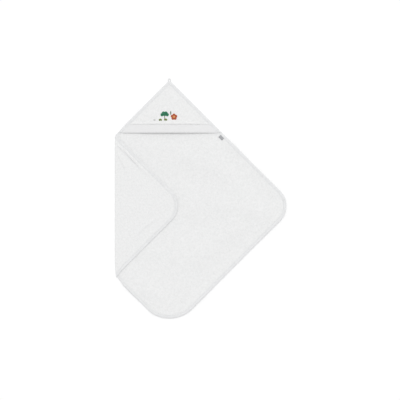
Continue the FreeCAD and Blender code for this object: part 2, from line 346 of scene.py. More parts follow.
def arch(x, y):
    """Height of the hood's front over its back: a shallow cone, softened by small folds."""
    half_width = np.maximum(half_diagonal - y, 1 * MM)
    rise = hood_rise * half_width / hood_depth
    across = np.clip(1 - (x / half_width) ** 2, 0, 1)
    return rise * across + smooth(across * 3) * ridges(x, y, HOOD_FOLDS)


def lay_hood(x, y, height):
    """A point of the hood's front, height above its inner face."""
    x, y, height = np.broadcast_arrays(np.asarray(x, float), y, height)
    return np.stack([x, y, thickness + arch(x, y) + height], -1)


def pile(x, y, seed):
    """Uneven height of the terry loops, flattened where the binding holds them."""
    inset = inset_of(x, y)
    swell = 0.35 * MM * np.exp(-((inset - 18 * MM) / (5 * MM)) ** 2)
    pressed = 0.7 * MM * smooth((BINDING_WIDTH + 1 * MM - inset) / (3 * MM))
    tufts = TUFT_HEIGHT * soft_noise(x, y, TUFT_SIZE, seed)
    tufts += PATCH_HEIGHT * soft_noise(x, y, PATCH_SIZE, seed + 1)
    return swell + tufts - pressed


# ---- terry cloth ----
def terry_slab(name, x_lines, y_lines, low, high, place):
    """Closed sheet of terry over the grid cells inside the outline. low and high give its two faces.
    Returns the piece and its flat area."""
    centre_x, centre_y = np.meshgrid((x_lines[1:] + x_lines[:-1]) / 2, (y_lines[1:] + y_lines[:-1]) / 2,
                                     indexing="ij")
    kept = inset_of(centre_x, centre_y) > EDGE_TUCK
    gx, gy = np.meshgrid(x_lines, y_lines, indexing="ij")
    around = np.zeros(gx.shape, int)
    for dx in (0, 1):
        for dy in (0, 1):
            around[dx:dx + kept.shape[0], dy:dy + kept.shape[1]] += kept
    inner = 4 - 2 * np.isin(gx, x_lines[[0, -1]]) - 2 * np.isin(gy, y_lines[[0, -1]])
    ragged = (around > 0) & (around < np.maximum(inner, 1))
    for _ in range(EDGE_PASSES):  # ragged corners move onto a smooth line
        slope_x = (inset_of(gx + SLOPE_STEP, gy) - inset_of(gx - SLOPE_STEP, gy)) / (2 * SLOPE_STEP)
        slope_y = (inset_of(gx, gy + SLOPE_STEP) - inset_of(gx, gy - SLOPE_STEP)) / (2 * SLOPE_STEP)
        short = np.where(ragged, EDGE_TUCK - inset_of(gx, gy), 0)
        gx = gx + short * slope_x * ~np.isin(gx, x_lines[[0, -1]])
        gy = gy + short * slope_y * ~np.isin(gy, y_lines[[0, -1]])
    used = around > 0
    number = np.full(gx.shape, -1)
    number[used] = np.arange(used.sum())
    count = used.sum()
    x, y = gx[used], gy[used]
    vertices = np.concatenate([place(x, y, low(x, y)), place(x, y, high(x, y))])
    marks = np.concatenate([np.column_stack([x, y, 0 * x]), np.column_stack([x, y, 0 * x + thickness])])
    i, j = np.nonzero(kept)
    quad = np.stack([number[i, j], number[i + 1, j], number[i + 1, j + 1], number[i, j + 1]], 1)
    area = ((x[quad[:, 2]] - x[quad[:, 0]]) * (y[quad[:, 3]] - y[quad[:, 1]])
            - (x[quad[:, 3]] - x[quad[:, 1]]) * (y[quad[:, 2]] - y[quad[:, 0]])).sum() / 2
    faces = [quad[:, ::-1], quad + count]
    bordering = np.pad(kept, 1)
    for di, dj, a, b in ((-1, 0, 3, 0), (1, 0, 1, 2), (0, -1, 0, 1), (0, 1, 2, 3)):
        open_side = ~bordering[i + 1 + di, j + 1 + dj]
        first, second = quad[open_side, a], quad[open_side, b]
        faces.append(np.stack([first, second, second + count, first + count], 1))
    piece = mesh_object(name, vertices, np.concatenate(faces), marks, terry)
    sharpen(piece.data, 2 * len(quad))
    return piece, float(abs(area))


def sharpen(mesh, first_wall):
    """Keep the faces before first_wall shaded apart from the walls after it."""
    for wall in mesh.polygons[first_wall:]:
        for corner in wall.loop_indices:
            mesh.edges[mesh.loops[corner].edge_index].use_edge_sharp = True


def lines(start, end, step=GRID):
    return np.linspace(start, end, max(int(round((end - start) / step)), 1) + 1)


# ---- tape, stitches and thread ----
# binding's section from its inner lip, over the edge: inset, and height over the terry
TAPE_SECTION = ((14.0, -0.9), (13.95, 0.05), (13.3, 0.38), (12.3, 0.26), (11.0, -0.12), (9.7, 0.24),
                (8.0, 0.44), (5.5, 0.5), (3.2, 0.42), (1.5, 0.0))
# then round the edge: inset, and share of the way from the middle height to the last one above
TAPE_EDGE = ((0.55, 0.78), (0.12, 0.42), (0.0, 0.0), (0.12, -0.42), (0.55, -0.78))


def tape_top(x, y):
    """Upper face of what the binding folds round: one layer, or two on the hood."""
    hood = smooth((y - opening_y + 1.5 * MM) / (4 * MM))
    above = FRONT_THICKNESS + arch(x, np.maximum(y, opening_y)) + 0.2 * MM
    return panel_high + hood * above - BINDING_PROUD * by_fold(x) * (1 - hood)


def flat_tape():
    """Binding round the whole flat cloth, in cloth coordinates and height."""
    points, inward = outline(TAPE_STEP)
    steps = np.linalg.norm(np.diff(points, axis=0, append=points[:1]), axis=1)
    half_tip = tip_radius * math.pi / 4
    travel = np.abs(np.cumsum(steps) - steps - half_tip)
    travel = np.minimum(travel, steps.sum() - travel)  # both ways from the hood's tip
    pucker = TAPE_PUCKER * np.cos(2 * math.pi * travel / STITCH_PITCH)
    rings, marks = [], []

    def add(inset, upward, height_of):
        at = points + inward * inset
        near_stitch = pucker * math.exp(-((inset - STITCH_INSET) / (2.5 * MM)) ** 2)
        rings.append(np.column_stack([at, height_of(tape_top(at[:, 0], at[:, 1]), near_stitch)]))
        run = travel + np.maximum(half_tip - travel, 0) * inset / tip_radius
        marks.append(np.column_stack([run, np.full(len(run), inset * upward), 0 * run]))

    for inset, offset in TAPE_SECTION:
        add(inset * MM, 1, lambda top, wave: top + offset * MM + wave)
    for inset, share in TAPE_EDGE:
        add(inset * MM, 1 if share >= 0 else -1,
            lambda top, wave: (top + panel_low) / 2 + share * (top - panel_low) / 2)
    for inset, offset in reversed(TAPE_SECTION):
        add(inset * MM, -1, lambda top, wave: panel_low - offset * MM - wave)
    count, around = len(points), len(rings)
    vertices = np.stack(rings, 1).reshape(-1, 3)
    index = np.arange(count * around).reshape(count, around)
    after = np.roll(index, -1, 0)
    side = np.roll(index, -1, 1)
    corner = np.roll(after, -1, 1)
    faces = np.stack([index, side, corner, after], -1).reshape(-1, 4)
    mesh = bpy.data.meshes.new("flat_tape")
    mesh.from_pydata(vertices.tolist(), [], faces.tolist())
    add_marks(mesh, np.stack(marks, 1).reshape(-1, 3))
    return mesh


def cut_tape(name, cuts, place, finer=()):
    """Part of the binding between straight cuts, closed at each cut, then laid in place.
    Each cut is (axis, value, outward direction), and finer lists extra mesh lines at those x."""
    bm = bmesh.new()
    bm.from_mesh(tape)

    def divide(centre, normal, clear):
        geometry = bm.verts[:] + bm.edges[:] + bm.faces[:]
        bmesh.ops.bisect_plane(bm, geom=geometry, dist=1e-7, plane_co=centre, plane_no=normal,
                               clear_outer=clear)

    for axis, value, outward in cuts:
        centre, normal = [0.0, 0.0, 0.0], [0.0, 0.0, 0.0]
        centre[axis], normal[axis] = value, outward
        divide(centre, normal, True)
        rim = [edge for edge in bm.edges if edge.is_boundary]
        caps = bmesh.ops.holes_fill(bm, edges=rim, sides=0)["faces"]
        for edge in {edge for cap in caps for edge in cap.edges}:
            edge.smooth = False
    for x in finer:
        divide((x, 0, 0), (1, 0, 0), False)
    bmesh.ops.recalc_face_normals(bm, faces=bm.faces[:])
    mesh = bpy.data.meshes.new(name)
    bm.to_mesh(mesh)
    bm.free()
    flat = np.zeros(len(mesh.vertices) * 3)
    mesh.vertices.foreach_get("co", flat)
    flat = flat.reshape(-1, 3)
    mesh.vertices.foreach_set("co", place(flat[:, 0], flat[:, 1], flat[:, 2]).ravel())
    return show(name, mesh, binding)


# one short thread: places along it and its radius there, then the sides round it
THREAD_RINGS = ((-1.0, 0.25), (-0.82, 0.8), (-0.35, 1.0), (0.35, 1.0), (0.82, 0.8), (1.0, 0.25))
THREAD_SIDES = 6


def threads(name, starts, ends, radius, arching, material, up=(0, 0, 1)):
    """Many short rounded threads, each from a start to an end and arched up by arching."""
    along = (ends - starts) / 2
    middle = (starts + ends) / 2
    length = np.linalg.norm(along, axis=1, keepdims=True)
    up = np.broadcast_to(np.asarray(up, float), along.shape)
    side = np.cross(up, along / length)
    side /= np.linalg.norm(side, axis=1, keepdims=True)
    rise = np.cross(along / length, side)
    rings, marks = [], []
    own = np.arange(len(starts)) * 0.6180339887 % 1
    for place, share in THREAD_RINGS:
        for step in range(THREAD_SIDES):
            turn = 2 * math.pi * step / THREAD_SIDES
            bow = arching * (1 - place ** 2)
            rings.append(middle + along * place + side * (radius * share * math.cos(turn))
                         + rise * (radius * share * math.sin(turn) + bow))
            marks.append(np.column_stack([length[:, 0] * place, radius * np.full(len(own), turn), own]))
    vertices = np.stack(rings, 1).reshape(-1, 3)
    one = closed_tube(len(THREAD_RINGS), THREAD_SIDES)
    firsts = range(0, len(vertices), len(THREAD_RINGS) * THREAD_SIDES)
    faces = [[corner + first for corner in face] for first in firsts for face in one]
    return mesh_object(name, vertices, faces, np.stack(marks, 1).reshape(-1, 3), material)


def edge_stitches(name, inside):
    """Stitches along the binding, on both faces of the cloth, where inside(x, y) holds."""
    points, inward = outline(STITCH_PITCH)
    forward = np.stack([-inward[:, 1], inward[:, 0]], 1)
    at = points + inward * STITCH_INSET
    chosen = inside(at[:, 0], at[:, 1])
    at, forward = at[chosen], forward[chosen]
    starts, ends, ups = [], [], []
    for upward in (1, -1):
        for shift, found in ((-0.5, starts), (0.5, ends)):
            x, y = (at + forward * STITCH_LENGTH * shift).T
            height = tape_top(x, y) + STITCH_SEAT if upward > 0 else panel_low - STITCH_SEAT
            found.append(lay(x, y, height))
        folded = at[:, 0] < fold_x - roll_length / 2
        ups.append(np.where(folded, -upward, upward)[:, None] * np.array([[0, 0, 1.0]]))
    return threads(name, np.concatenate(starts), np.concatenate(ends), STITCH_RADIUS, STITCH_ARCH,
                   sewing, np.concatenate(ups))


# ---- materials ----
class Nodes:
    """A Principled material and short calls for the nodes that feed it."""

    def __init__(self, name, roughness, sheen=0.0, specular=0.3):
        self.material = bpy.data.materials.new(name)
        self.material.use_nodes = True
        self.tree = self.material.node_tree
        self.shader = self.tree.nodes["Principled BSDF"]
        self.feed(self.shader, {"Roughness": roughness, "Specular IOR Level": specular,
                                "Sheen Weight": sheen, "Sheen Roughness": 0.45})
        self.cloth = self.node("Attribute", attribute_name="cloth").outputs["Vector"]

    def node(self, kind, **settings):
        made = self.tree.nodes.new("ShaderNode" + kind)
        for key, value in settings.items():
            setattr(made, key, value)
        return made

    def feed(self, node, inputs):
        for key, value in inputs.items():
            if isinstance(value, bpy.types.NodeSocket):
                self.tree.links.new(value, node.inputs[key])
            else:
                node.inputs[key].default_value = value

    def scaled(self, x, y, turn=0.0):
        """The place on the cloth, in units of one pattern repeat, with x and y in metres."""
        mapping = self.node("Mapping")
        self.feed(mapping, {"Vector": self.cloth, "Scale": (1 / x, 1 / y, 1), "Rotation": (0, 0, turn)})
        return mapping.outputs["Vector"]

    def noise(self, size, detail=2.0, roughness=0.5, vector=None):
        made = self.node("TexNoise")
        self.feed(made, {"Vector": vector or self.cloth, "Scale": 1 / size, "Detail": detail,
                         "Roughness": roughness})
        return made.outputs["Fac"]

    def cells(self, size):
        made = self.node("TexVoronoi", feature="SMOOTH_F1")
        self.feed(made, {"Vector": self.cloth, "Scale": 1 / size, "Smoothness": 0.4})
        return made.outputs["Distance"]

    def stripes(self, x, y, direction="X", turn=0.0):
        """A sine wave from 0 to 1, with one crest in each pattern repeat."""
        made = self.node("TexWave", bands_direction=direction)
        self.feed(made, {"Vector": self.scaled(x, y, turn), "Scale": math.pi / 10})
        return made.outputs["Fac"]

    def math(self, operation, first, second):
        made = self.node("Math", operation=operation)
        self.feed(made, {0: first, 1: second})
        return made.outputs["Value"]

    def ramp(self, factor, low, high, out_low, out_high):
        made = self.node("MapRange")
        self.feed(made, {"Value": factor, "From Min": low, "From Max": high, "To Min": out_low,
                         "To Max": out_high})
        return made.outputs["Result"]

    def colour(self, factor, dark, light):
        made = self.node("Mix", data_type="RGBA")
        self.feed(made, {"A": dark + (1,), "B": light + (1,), "Factor": factor})
        self.feed(self.shader, {"Base Color": made.outputs["Result"]})

    def bump(self, *layers):
        """Each layer is (height from 0 to 1, depth in metres)."""
        normal = None
        for height, depth in layers:
            made = self.node("Bump")
            self.feed(made, {"Height": height, "Distance": depth, "Strength": 1.0})
            if normal:
                self.feed(made, {"Normal": normal})
            normal = made.outputs["Normal"]
        self.feed(self.shader, {"Normal": normal})


def terry_material():
    """Looped pile: rows of small loops that lean together in patches."""
    made = Nodes("terry", roughness=0.95, sheen=0.25, specular=0.15)
    loops = made.cells(1.7 * MM)
    twist = made.noise(0.7 * MM, 3.0, 0.6)
    patches = made.noise(8 * MM, 3.0, 0.55)
    rows = made.stripes(3.2 * MM, 3.2 * MM, turn=math.radians(45))
    rows = made.math("MULTIPLY", rows, made.noise(14 * MM, 1.0))
    # Colour: painted shade in the gaps between the loops, darker away from each loop's middle, plus random
    # lighter and darker patches of pile.
    painted_shade_and_tone = made.math("ADD", made.ramp(loops, 0.1, 0.75, 0.75, 0.15), made.ramp(patches, 0.3, 0.7, -0.2, 0.3))
    made.colour(painted_shade_and_tone, TERRY_DARK, TERRY_LIGHT)
    made.bump((patches, 0.8 * MM), (rows, 0.25 * MM), (made.math("SUBTRACT", 1.0, loops), 0.55 * MM),
              (twist, 0.25 * MM))
    return made.material


def binding_material():
    """Soft knitted tape, with fine ribs across its length."""
    made = Nodes("binding", roughness=0.85, sheen=0.2, specular=0.2)
    ribs = made.stripes(0.85 * MM, 1.0)
    courses = made.stripes(1.0, 0.6 * MM, "Y")
    fuzz = made.noise(0.9 * MM, 3.0, 0.6)
    patches = made.noise(12 * MM, 2.0)
    # Colour: painted shade in the grooves between the ribs, lighter on their crests, plus random lighter and
    # darker patches.
    painted_shade_and_tone = made.math("ADD", made.ramp(ribs, 0, 1, 0.25, 0.6), made.ramp(patches, 0.3, 0.7, -0.2, 0.3))
    made.colour(painted_shade_and_tone, BINDING_DARK, BINDING_LIGHT)
    made.bump((patches, 0.5 * MM), (ribs, 0.14 * MM), (courses, 0.05 * MM), (fuzz, 0.12 * MM))
    return made.material


def band_material():
    """Flat woven band: fine ribs along it, crossed by close threads."""
    made = Nodes("band", roughness=0.62, sheen=0.15, specular=0.35)
    ribs = made.stripes(1.0, 1.15 * MM, "Y")
    picks = made.stripes(0.55 * MM, 1.0)
    weave = made.math("MULTIPLY", ribs, made.ramp(picks, 0, 1, 0.6, 1.0))
    slubs = made.noise(1.0, 2.0, 0.5, made.scaled(30 * MM, 1.2 * MM))
    # Colour: painted shade where the weave is low, lighter where its ribs and threads stand up, plus random
    # slubs along the band.
    painted_shade_and_tone = made.math("ADD", made.ramp(weave, 0, 1, 0.2, 0.7), made.ramp(slubs, 0.3, 0.7, -0.15, 0.25))
    made.colour(painted_shade_and_tone, BAND_DARK, BAND_LIGHT)
    made.bump((slubs, 0.15 * MM), (weave, 0.12 * MM))
    return made.material


def thread_material(name, colour, spread=0.22):
    """Twisted embroidery or sewing thread. Each stitch has its own slight shade."""
    made = Nodes(name, roughness=0.42, sheen=0.1, specular=0.5)
    twist = made.stripes(0.9 * MM, 2.1 * MM, turn=math.radians(38))
    split = made.node("SeparateXYZ")
    made.feed(split, {"Vector": made.cloth})
    # Colour: painted shade in the grooves of the twist, lighter on its ridges, plus each stitch's own random
    # tone.
    painted_shade_and_tone = made.math("ADD", made.ramp(twist, 0, 1, 0.2, 0.6), made.ramp(split.outputs["Z"], 0, 1, -0.2, 0.4))
    dark = tuple(channel * (1 - spread) for channel in colour)
    light = tuple(min(channel * (1 + spread) + 0.01, 1.0) for channel in colour)
    made.colour(painted_shade_and_tone, dark, light)
    made.bump((twist, 0.06 * MM))
    return made.material


def label_material():
    """Woven satin label, blank, with fine ribs."""
    made = Nodes("label", roughness=0.5, sheen=0.1, specular=0.4)
    ribs = made.stripes(0.45 * MM, 1.0)
    picks = made.stripes(1.0, 0.6 * MM, "Y")
    weave = made.math("MULTIPLY", ribs, made.ramp(picks, 0, 1, 0.5, 1.0))
    # Colour: painted shade where the weave is low, lighter on its raised threads.
    made.colour(made.ramp(weave, 0, 1, 0.1, 0.9), LABEL_DARK, LABEL_LIGHT)
    made.bump((weave, 0.08 * MM))
    return made.material


# Dark and light ends of each cloth's colour: the dark end is painted shade in the hollows between loops, ribs
# or threads, with random darker patches; the light end is their tops.
TERRY_DARK, TERRY_LIGHT = (0.78, 0.785, 0.785), (0.90, 0.90, 0.90)
BINDING_DARK, BINDING_LIGHT = (0.74, 0.745, 0.75), (0.86, 0.865, 0.87)
BAND_DARK, BAND_LIGHT = (0.73, 0.73, 0.735), (0.86, 0.86, 0.865)
# The label is mid grey, much darker than the cloth, so it shows as a dark patch just inside the binding below
# the hood band's right end.
LABEL_DARK, LABEL_LIGHT = (0.30, 0.305, 0.32), (0.42, 0.425, 0.44)
THREADS = {
    "sewing_thread": (0.80, 0.81, 0.81),
    "green_thread": (0.012, 0.20, 0.095),
    "brown_thread": (0.12, 0.07, 0.035),
    "olive_thread": (0.19, 0.25, 0.045),
    "terracotta_thread": (0.50, 0.10, 0.035),
    "orange_thread": (0.85, 0.36, 0.06),
    "sage_thread": (0.16, 0.22, 0.15),
    "grey_thread": (0.30, 0.30, 0.28),
}
terry = terry_material()
binding = binding_material()
band = band_material()
label = label_material()
thread = {name: thread_material(name, colour) for name, colour in THREADS.items()}


# ---- cloth pieces ----
def upper_face(x, y):
    loops = pile(x, y, FACE_SEEDS["inner"])
    return panel_high + loops - by_fold(x) * (0.3 * MM + 0.4 * loops)


def lower_face(x, y):
    return np.maximum(panel_low - pile(x, y, FACE_SEEDS["outer"]), FLOOR_GAP)


def fold_puff(x, y):
    """Extra fullness of the cloth's outer face, from half-way round the fold on."""
    beyond = fold_x - x
    upper_half = smooth(2 * beyond / roll_length - 1)
    past = np.maximum(beyond - roll_length, 0)
    return FOLD_PUFF * upper_half * held(x, y, 12 * MM) * np.exp(-(past / FOLD_PUFF_REACH) ** 2)


def turned(x, y):
    """Outer face of the fold, which lies on the floor before it turns."""
    lowest = np.where(x > fold_x, FLOOR_GAP, -1.0)
    return np.maximum(panel_low - pile(x, y, FACE_SEEDS["outer"]), lowest) - fold_puff(x, y)


def creased(x, y):
    """The folded corner's upper face, which is the cloth's underside turned over."""
    lying_x = 2 * fold_x - roll_length - x
    free = held(x, y, 8 * MM) * smooth((turn_end - x) / (6 * MM))
    creases = free * ridges(lying_x, y, FLAP_CREASES)
    return panel_low - pile(x, y, FACE_SEEDS["outer"]) - creases - fold_puff(x, y)


def halved(spaced):
    """The same lines with one more between each two."""
    return np.sort(np.r_[spaced, (spaced[1:] + spaced[:-1]) / 2])


far = half_diagonal + GRID
hood_lines = np.r_[lines(split_y, opening_y, HINGE_STEP), halved(lines(opening_y, far))[1:]]
body_lines = lines(-far, split_y)
turn_start = fold_x + TURN_SHARE
turn_end = fold_x - roll_length - TURN_SHARE
round_lines = lines(fold_x - roll_length, fold_x, FOLD_STEP)
turn_lines = np.r_[lines(turn_end, round_lines[0])[:-1], round_lines, lines(fold_x, turn_start)[1:]]
main_lines = lines(turn_start, far)
flap_lines = halved(lines(-far, turn_end))
hood_reach = half_diagonal - split_y

main_cloth, main_area = terry_slab("terry_main", main_lines, body_lines, lower_face, upper_face, lay)
turn_cloth, turn_area = terry_slab("terry_fold", turn_lines, body_lines, turned, upper_face, lay_turn)
flap_cloth, flap_area = terry_slab("terry_corner", flap_lines, halved(body_lines), creased, upper_face, lay)
back_cloth, back_area = terry_slab(
    "terry_hood_back", lines(-hood_reach, hood_reach), hood_lines, lower_face, upper_face, lay)

# ---- the hood's front ----
BAND_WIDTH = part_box("hood_band")[1].y - opening_y
BAND_SWELL = 2.2 * MM  # terry standing up beside the band's upper seam
BAND_PRESS = 0.9 * MM  # and pressed flat under the band


def front_low(x, y):
    return -0.3 * pile(x, y, FACE_SEEDS["hood_inner"]) + PILE_OVER


def front_high(x, y):
    above = y - opening_y - BAND_WIDTH
    fullness = BAND_SWELL * np.exp(-((above - 4.5 * MM) / (3.6 * MM)) ** 2) * held(x, y, 9 * MM)
    pressed = BAND_PRESS * smooth(1 - (above - 0.5 * MM) / (2.2 * MM)) * (above < 4 * MM)
    return FRONT_THICKNESS + pile(x, y, FACE_SEEDS["hood_outer"]) + PILE_OVER + fullness - pressed


front_lines = halved(lines(opening_y + FRONT_SETBACK, far))
front_cloth, front_area = terry_slab(
    "terry_hood_front", halved(lines(-hood_depth, hood_depth)), front_lines, front_low, front_high, lay_hood)

# ---- binding ----
tape = flat_tape()
under_hood = (1, split_y, 1.0)
main_tape = cut_tape("binding_main", (under_hood, (0, turn_start, -1.0)), lay)
turn_tape = cut_tape("binding_fold", (under_hood, (0, turn_start, 1.0), (0, turn_end, -1.0)), lay_turn,
                     finer=round_lines)
flap_tape = cut_tape("binding_corner", (under_hood, (0, turn_end, 1.0)), lay)
hood_tape = cut_tape("binding_hood", ((1, split_y, -1.0),), lay)

# ---- stitches along the binding ----
sewing = thread["sewing_thread"]
HINGE_MARGIN = 1.5 * MM
last_y = split_y - HINGE_MARGIN
folded_from = fold_x - roll_length - HINGE_MARGIN
main_stitches = edge_stitches("stitching_main", lambda x, y: (y < last_y) & (x > fold_x + HINGE_MARGIN))
flap_stitches = edge_stitches("stitching_corner", lambda x, y: (y < last_y) & (x < folded_from))
hood_stitches = edge_stitches("stitching_hood", lambda x, y: y > opening_y + HINGE_MARGIN)

# ---- hood band ----
BAND_THICKNESS = 0.9 * MM
FACING_DEPTH = 12 * MM
BAND_TUCK = 12.5 * MM  # band's ends, hidden under the binding
BAND_STITCH_INSET = 2.5 * MM
BAND_COLUMNS = 171
band_low = FRONT_THICKNESS + 0.55 * MM
band_high = band_low + BAND_THICKNESS


def band_profile():
    """Closed section of the band: (distance from the opening, offset over the arch)."""
    top = []
    for y in lines(0.0, BAND_WIDTH, 1.0 * MM)[::-1]:
        seam = math.exp(-((y - BAND_WIDTH + BAND_STITCH_INSET) / (1.3 * MM)) ** 2)
        hem = math.exp(-((y - BAND_STITCH_INSET) / (1.3 * MM)) ** 2)
        rim = 0.55 * MM * math.exp(-((y - BAND_WIDTH) / (0.7 * MM)) ** 2)
        top.append((y, band_high - 0.42 * MM * (seam + hem) - rim))
    lip = []
    inside = -(0.35 * MM + BAND_THICKNESS)
    middle, half = (band_high + inside) / 2, (band_high - inside) / 2
    for turn in np.radians(np.linspace(100, 260, 9)):
        lip.append((-0.9 * MM * abs(math.cos(turn)), middle + half * math.sin(turn)))
    facing = [(y, inside) for y in lines(1.0 * MM, FACING_DEPTH, 1.5 * MM)]
    back = [(y, inside + BAND_THICKNESS) for y in lines(1.2 * MM, FACING_DEPTH, 1.5 * MM)[::-1]]
    under = [(y, band_low) for y in lines(1.2 * MM, BAND_WIDTH, 2.0 * MM)]
    return top + lip + facing + back + under


def lay_band(x, y, offset):
    ripple = 0.22 * MM * soft_noise(x, y, 26 * MM, seed=71) + 0.12 * MM * soft_noise(x, y, 7 * MM, seed=72)
    return lay_hood(x, y, offset + np.where(offset > 0, ripple, 0.3 * ripple))


def hood_band():
    profile = np.array(band_profile())
    across = np.linspace(-1, 1, BAND_COLUMNS)
    travel = path_length(profile)
    y = opening_y + profile[:, 0]
    reach = half_diagonal - y - BAND_TUCK * ROOT2
    x = across[:, None] * reach
    y, offset = np.broadcast_to(y, x.shape), np.broadcast_to(profile[:, 1], x.shape)
    vertices = lay_band(x, y, offset).reshape(-1, 3)
    marks = np.stack([x, np.broadcast_to(travel, x.shape), 0 * x], -1).reshape(-1, 3)
    index, quads = tube_faces(*x.shape)
    faces = quads[:, [0, 3, 2, 1]].tolist() + [index[0].tolist(), index[-1][::-1].tolist()]
    return mesh_object("hood_band_woven", vertices, faces, marks, band)


def line_stitches(name, y, height, pitch=2.9 * MM, length=2.2 * MM):
    """A row of stitches across the hood at one y."""
    reach = half_diagonal - y - (BINDING_WIDTH + 1.5 * MM) * ROOT2
    middles = lines(-reach, reach, pitch)
    ends = [lay_band(middles + side * length / 2, np.full(len(middles), y), height) for side in (-1, 1)]
    return threads(name, ends[0], ends[1], 0.3 * MM, 0.18 * MM, sewing)


hood_band_piece = hood_band()
stitch_height = band_high - 0.25 * MM
lower_row = line_stitches("stitching_band_lower", opening_y + BAND_STITCH_INSET, stitch_height)
upper_row = line_stitches("stitching_band_upper", opening_y + BAND_WIDTH - BAND_STITCH_INSET, stitch_height)


# ---- bar tacks: tight zigzags ----
TACK_SEAT = 0.42 * MM  # thread's centre over what the binding folds round
TACK_PITCH = 0.42 * MM
TACK_LEAN = 0.12 * MM
TACK_INSET = 5.2 * MM  # from the cloth's edge to a tack's middle


def bartack(name, centres, angles, length, width=2.8 * MM):
    """Close zigzag stitches on the binding, one tack at each centre and angle."""
    starts, ends = [], []
    for centre, degrees in zip(np.array(centres), angles):
        along = heading(degrees)
        across = np.array([-along[1], along[0]])
        for step in lines(-length / 2, length / 2, TACK_PITCH):
            first = centre + along * (step - TACK_LEAN) - across * width / 2
            last = centre + along * (step + TACK_LEAN) + across * width / 2
            for point, found in ((first, starts), (last, ends)):
                found.append(lay(point[0], point[1], tape_top(*point) + TACK_SEAT))
    return threads(name, np.array(starts), np.array(ends), 0.27 * MM, 0.3 * MM, sewing)


tack_y = middle_of("hood_bartacks")[1]
tack_x = half_diagonal - tack_y - TACK_INSET * ROOT2
hood_tacks = bartack("bartacks_hood", ((-tack_x, tack_y), (tack_x, tack_y)), (45, -45), length=10.5 * MM)
loop_tack = bartack("bartack_loop", ((0, middle_of("loop_bartack")[1]),), (0,), length=9.6 * MM)


# ---- embroidery ----
EMBROIDERY_SEAT = FRONT_THICKNESS + 0.45 * MM
SHORTEST_STITCH = 0.5 * MM
PETAL_SHARE = 0.4225  # radius of a petal, as a share of the flower's


def embroidered(name, colour, fills, pitch=0.46 * MM, radius=0.3 * MM, stitch=5.0 * MM):
    """Rows of stitches over flat shapes. Each fill is (inside test, centre, reach, degrees)."""
    starts, ends = [], []
    for inside, centre, reach, degrees in fills:
        along = heading(degrees)
        across = np.array([-along[1], along[0]])
        steps = np.arange(-reach, reach, 0.1 * MM)
        for row, offset in enumerate(np.arange(-reach, reach, pitch)):
            points = np.array(centre) + across * offset + steps[:, None] * along
            covered = inside(points[:, 0], points[:, 1])
            edges = np.flatnonzero(np.diff(np.r_[0, covered.astype(int), 0]))
            for first, last in zip(edges[::2], edges[1::2] - 1):
                span = steps[last] - steps[first]
                if span < SHORTEST_STITCH:
                    continue
                pieces = max(int(math.ceil(span / stitch)), 1)
                shift = (row * 0.382 % 1 - 0.5) * span / pieces if pieces > 1 else 0.0
                cuts = np.r_[0, np.arange(1, pieces) * span / pieces + shift, span]
                base = np.array(centre) + across * offset + along * steps[first]
                starts += [base + along * cut for cut in cuts[:-1]]
                ends += [base + along * cut for cut in cuts[1:]]
    starts, ends = [lay_hood(*np.array(found).T, EMBROIDERY_SEAT) for found in (starts, ends)]
    return threads(name, starts, ends, radius, 0.35 * MM, thread[colour])


def in_disc(cx, cy, radius):
    return lambda x, y: (x - cx) ** 2 + (y - cy) ** 2 < radius ** 2


def nearest_disc(discs, index, keep_out):
    """Inside one disc of a group, and nearer to it than to the others."""
    def test(x, y):
        depth = [((x - cx) ** 2 + (y - cy) ** 2) / radius ** 2 for cx, cy, radius in discs]
        mine = (depth[index] < 1) & (depth[index] <= np.min(depth, axis=0) + 1e-9)
        return mine & ~keep_out(x, y) if keep_out else mine
    return test


def disc_fills(discs, reach, leaning, keep_out=None):
    """One fill for each disc of a group, with its stitches at its own angle."""
    return [(nearest_disc(discs, index, keep_out), disc[:2], reach, lean)
            for index, (disc, lean) in enumerate(zip(discs, leaning))]


def tree_crown():
    cx, cy, width, _ = middle_of("embroidered_tree_crown")
    lobe = width / 5.2  # the lobes span 5.2 radii across
    cy -= 0.225 * lobe  # half of how much further they reach above their centre than below it
    discs = [(cx, cy, 1.2 * lobe)]
    leaning = [90]
    for step_x, step_y in ((-1.6, -0.3), (-0.8, 0.75), (0.8, 0.75), (1.6, -0.3)):
        discs.append((cx + step_x * lobe, cy + step_y * lobe, lobe))
        leaning.append(math.degrees(math.atan2(step_y + 0.8, step_x)))
    return embroidered("embroidery_crown", "green_thread", disc_fills(discs, 1.25 * lobe, leaning))


def grass_tufts():
    low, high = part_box("embroidered_grass_tufts")
    blade = 3.8 * MM
    fills = []
    for cx, cy in ((low.x + 6.9 * MM, low.y + 4.2 * MM), (high.x - 6.9 * MM, low.y + 4.7 * MM)):
        discs = [(cx + step_x * blade, cy + step_y * blade, blade)
                 for step_x, step_y in ((-0.8, -0.1), (0, 0.35), (0.8, -0.1))]
        fills += disc_fills(discs, blade, (118, 90, 62))
    return embroidered("embroidery_tufts", "olive_thread", fills)


def flower():
    cx, cy, width, _ = middle_of("embroidered_flower_centre")
    centre_radius = width / 2
    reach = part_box("embroidered_flower_petals")[1].y - cy
    petal = PETAL_SHARE * reach
    ring = reach - petal
    discs, angles = [], []
    for index in range(5):
        angles.append(90 + 72 * index)
        turn = math.radians(angles[-1])
        discs.append((cx + ring * math.cos(turn), cy + ring * math.sin(turn), petal))
    middle = in_disc(cx, cy, centre_radius + 0.25 * MM)
    petals = embroidered("embroidery_petals", "terracotta_thread", disc_fills(discs, petal, angles, middle))
    disc = in_disc(cx, cy, centre_radius)
    centre = embroidered("embroidery_centre", "orange_thread", [(disc, (cx, cy), centre_radius, 20)])
    return petals, centre


